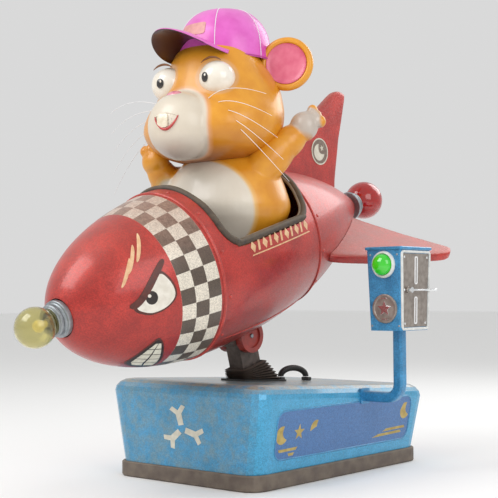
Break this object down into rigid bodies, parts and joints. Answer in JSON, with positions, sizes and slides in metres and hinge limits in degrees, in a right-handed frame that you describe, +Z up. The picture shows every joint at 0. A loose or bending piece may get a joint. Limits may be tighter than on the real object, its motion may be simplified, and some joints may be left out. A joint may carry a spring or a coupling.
{
  "type": "kiddie ride machine",
  "caption": "Coin-operated rocket ride: a rocket with three fins and a moulded animal rider rocks on one arm above a flared base, with a coin box on a bent post.",
  "frame": {"origin": "centre of the base's underside, on the floor", "axes": "+Z up, the rocket's nose points along -Y, the coin box stands on the +X side"},
  "size_m": [0.9505, 1.7588, 1.57],
  "materials": {
    "skirt_paint": "satin",
    "pan_steel": "matte",
    "blue_flake_gelcoat": "gloss",
    "blue_flake_paint": "gloss",
    "red_flake_gelcoat": "gloss",
    "red_paint": "gloss",
    "arm_paint": "satin",
    "steel": "satin",
    "dark_steel": "satin",
    "chrome": "polished",
    "bronze": "satin",
    "motor_enamel": "satin",
    "rim_rubber": "matte",
    "boot_rubber": "matte",
    "black_plastic": "satin",
    "clear_lamp_glass": "polished",
    "red_lamp_glass": "polished",
    "fur_paint": "satin",
    "eye_gloss": "gloss",
    "cap_paint": "satin",
    "tub_liner": "matte",
    "button_lens": "gloss"
  },
  "bodies": {
    "base": {"plinth": "skirt_paint", "floor_pan": "pan_steel", "base_shell": "blue_flake_gelcoat", "boot_frame": "black_plastic", "boot_bellows": "boot_rubber", "lamp_conduit": "boot_rubber", "conduit_gland_front": "black_plastic", "conduit_gland_rear": "black_plastic", "bearing_stand_left": "dark_steel", "bearing_stand_right": "dark_steel", "bearing_left": "bronze", "bearing_right": "bronze", "gearbox": "motor_enamel", "drive_motor": "motor_enamel", "control_box": "steel", "transformer": "dark_steel", "power_gland": "black_plastic", "coin_post": "blue_flake_paint", "coin_box_shell": "blue_flake_paint", "coin_panel": "steel", "coin_box_lid": "blue_flake_paint", "coin_mech": "steel", "cash_tray": "steel", "coin_medallion": "steel", "button_bezel": "black_plastic", "button_spring": "chrome"},
    "rocker": {"pivot_shaft": "steel", "rocker_arm": "arm_paint", "crank_lever": "steel", "belly_saddle": "arm_paint", "saddle_cheek_left": "red_paint", "saddle_cheek_right": "red_paint", "nose_shell": "red_flake_gelcoat", "body_shell": "red_flake_gelcoat", "tail_shell": "red_flake_gelcoat", "front_seam_ring": "red_flake_gelcoat", "rear_seam_ring": "red_flake_gelcoat", "cockpit_rim": "rim_rubber", "cockpit_tub": "tub_liner", "nose_collar": "steel", "nose_bulb": "clear_lamp_glass", "tail_collar": "steel", "tail_bulb": "red_lamp_glass", "top_fin": "red_flake_gelcoat", "left_fin": "red_flake_gelcoat", "right_fin": "red_flake_gelcoat", "rider_head": "fur_paint", "rider_torso": "fur_paint", "rider_eye_left": "eye_gloss", "rider_eye_right": "eye_gloss", "rider_ear_left": "fur_paint", "rider_ear_right": "fur_paint", "rider_cap": "cap_paint", "rider_arm_left": "fur_paint", "rider_arm_right": "fur_paint"},
    "crank": {"crank_disc": "steel"},
    "rod": {"connecting_rod": "steel", "crank_pin": "chrome"},
    "start_button": {"start_button": "button_lens"},
    "coin_lever": {"coin_lever": "chrome"}
  },
  "joints": [
    {"name": "rock", "type": "hinge", "parent": "base", "child": "rocker", "pos_m": [0, -0.09, 0.16], "axis": [-1, 0, 0], "range_deg": [0, 24], "deforming": ["boot_bellows"]},
    {"name": "crank_spin", "type": "hinge", "parent": "base", "child": "crank", "pos_m": [-0.0355, 0.08, 0.07197], "axis": [-1, 0, 0], "range_deg": [0, 180]},
    {"name": "rod_swing", "type": "hinge", "parent": "rocker", "child": "rod", "pos_m": [-0.046, -0.07129, 0.07197], "axis": [-1, 0, 0], "range_deg": [-24, 0]},
    {"name": "button_push", "type": "slide", "parent": "base", "child": "start_button", "axis": [0, 1, 0], "range_m": [0, 0.004], "stiffness_N_per_m": 400, "deforming": ["button_spring"]},
    {"name": "lever_turn", "type": "hinge", "parent": "base", "child": "coin_lever", "pos_m": [0.54463, 0.03, 0.617], "axis": [-1, 0, 0], "range_deg": [0, 25], "stiffness_Nm_per_rad": 0.8, "springref_deg": -8.59}
  ],
  "couplings": [
    {"joint": "crank_spin", "follows": "rock", "ratio": 7.5},
    {"joint": "rod_swing", "follows": "rock", "ratio": -1}
  ]
}
